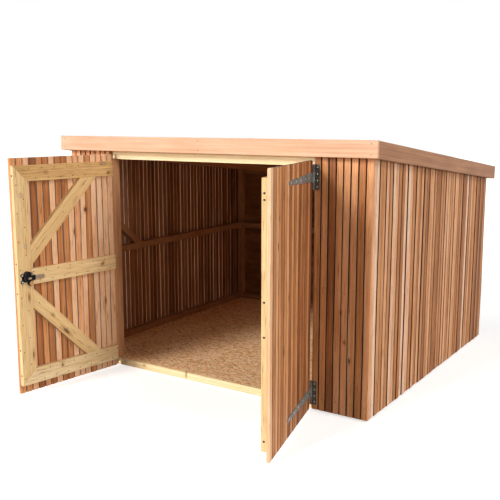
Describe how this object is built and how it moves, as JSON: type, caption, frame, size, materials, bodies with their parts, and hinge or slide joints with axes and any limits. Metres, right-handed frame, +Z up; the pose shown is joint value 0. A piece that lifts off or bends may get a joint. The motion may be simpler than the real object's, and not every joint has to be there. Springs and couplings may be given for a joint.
{
  "type": "bike shelter",
  "caption": "Slatted timber bike shelter with a pair of braced outward-opening doors on tee hinges, a boarded floor and a sloping tray roof behind a deep fascia.",
  "frame": {"origin": "ground level in the middle of the plan, at the ground face mount", "axes": "+Z up, -Y is the front with the doors, +X to the right seen from the front"},
  "size_m": [2.276, 2.8414, 1.53],
  "materials": {
    "cedar_slats": "sawn, oiled",
    "fascia_board": "planed",
    "door_timber": "planed, treated",
    "frame_timber": "sawn, treated",
    "strand_board": "pressed strands",
    "plywood": "sheet",
    "galvanised_steel": "galvanised",
    "black_metal": "black",
    "brass": "worn",
    "bright_steel": "bright",
    "rubber_liner": "matt membrane"
  },
  "bodies": {
    "shelter": {"floor_bearers": "frame_timber", "floor_front_sheet": "strand_board", "floor_back_sheet": "strand_board", "door_sill": "door_timber", "door_header": "door_timber", "jamb_posts": "frame_timber", "front_corner_posts": "frame_timber", "back_corner_posts": "frame_timber", "bottom_rails": "frame_timber", "middle_rails": "frame_timber", "top_plates": "frame_timber", "wall_braces": "frame_timber", "back_wall_board": "plywood", "front_left_cladding": "cedar_slats", "front_right_cladding": "cedar_slats", "left_wall_cladding": "cedar_slats", "right_wall_cladding": "cedar_slats", "back_wall_cladding": "cedar_slats", "roof_rafters": "frame_timber", "roof_deck": "strand_board", "roof_liner": "rubber_liner", "front_fascia": "fascia_board", "back_fascia": "fascia_board", "left_fascia": "fascia_board", "right_fascia": "fascia_board", "left_hinge_plates": "galvanised_steel", "right_hinge_plates": "galvanised_steel"},
    "left_door": {"left_door_cladding": "cedar_slats", "left_door_stile": "door_timber", "left_door_top_rail": "door_timber", "left_door_middle_rail": "door_timber", "left_door_bottom_rail": "door_timber", "left_door_upper_brace": "door_timber", "left_door_lower_brace": "door_timber", "left_hinge_straps": "galvanised_steel", "lock_case": "black_metal", "lock_cylinder": "brass"},
    "right_door": {"right_door_cladding": "cedar_slats", "right_door_stile": "door_timber", "right_door_top_rail": "door_timber", "right_door_middle_rail": "door_timber", "right_door_bottom_rail": "door_timber", "right_door_upper_brace": "door_timber", "right_door_lower_brace": "door_timber", "right_hinge_straps": "galvanised_steel"},
    "lock_bolt": {"lock_bolt": "bright_steel"}
  },
  "joints": [
    {"name": "left_door_hinge", "type": "hinge", "parent": "shelter", "child": "left_door", "pos_m": [-0.748, -1.024, 0], "axis": [0, 0, -1], "range_deg": [-97.5, 72.5]},
    {"name": "right_door_hinge", "type": "hinge", "parent": "shelter", "child": "right_door", "pos_m": [0.748, -1.024, 0], "axis": [0, 0, 1], "range_deg": [-104, 66]},
    {"name": "lock_bolt_slide", "type": "slide", "parent": "left_door", "child": "lock_bolt", "axis": [-0.1305, -0.9914, 0], "range_m": [0, 0.07]}
  ]
}
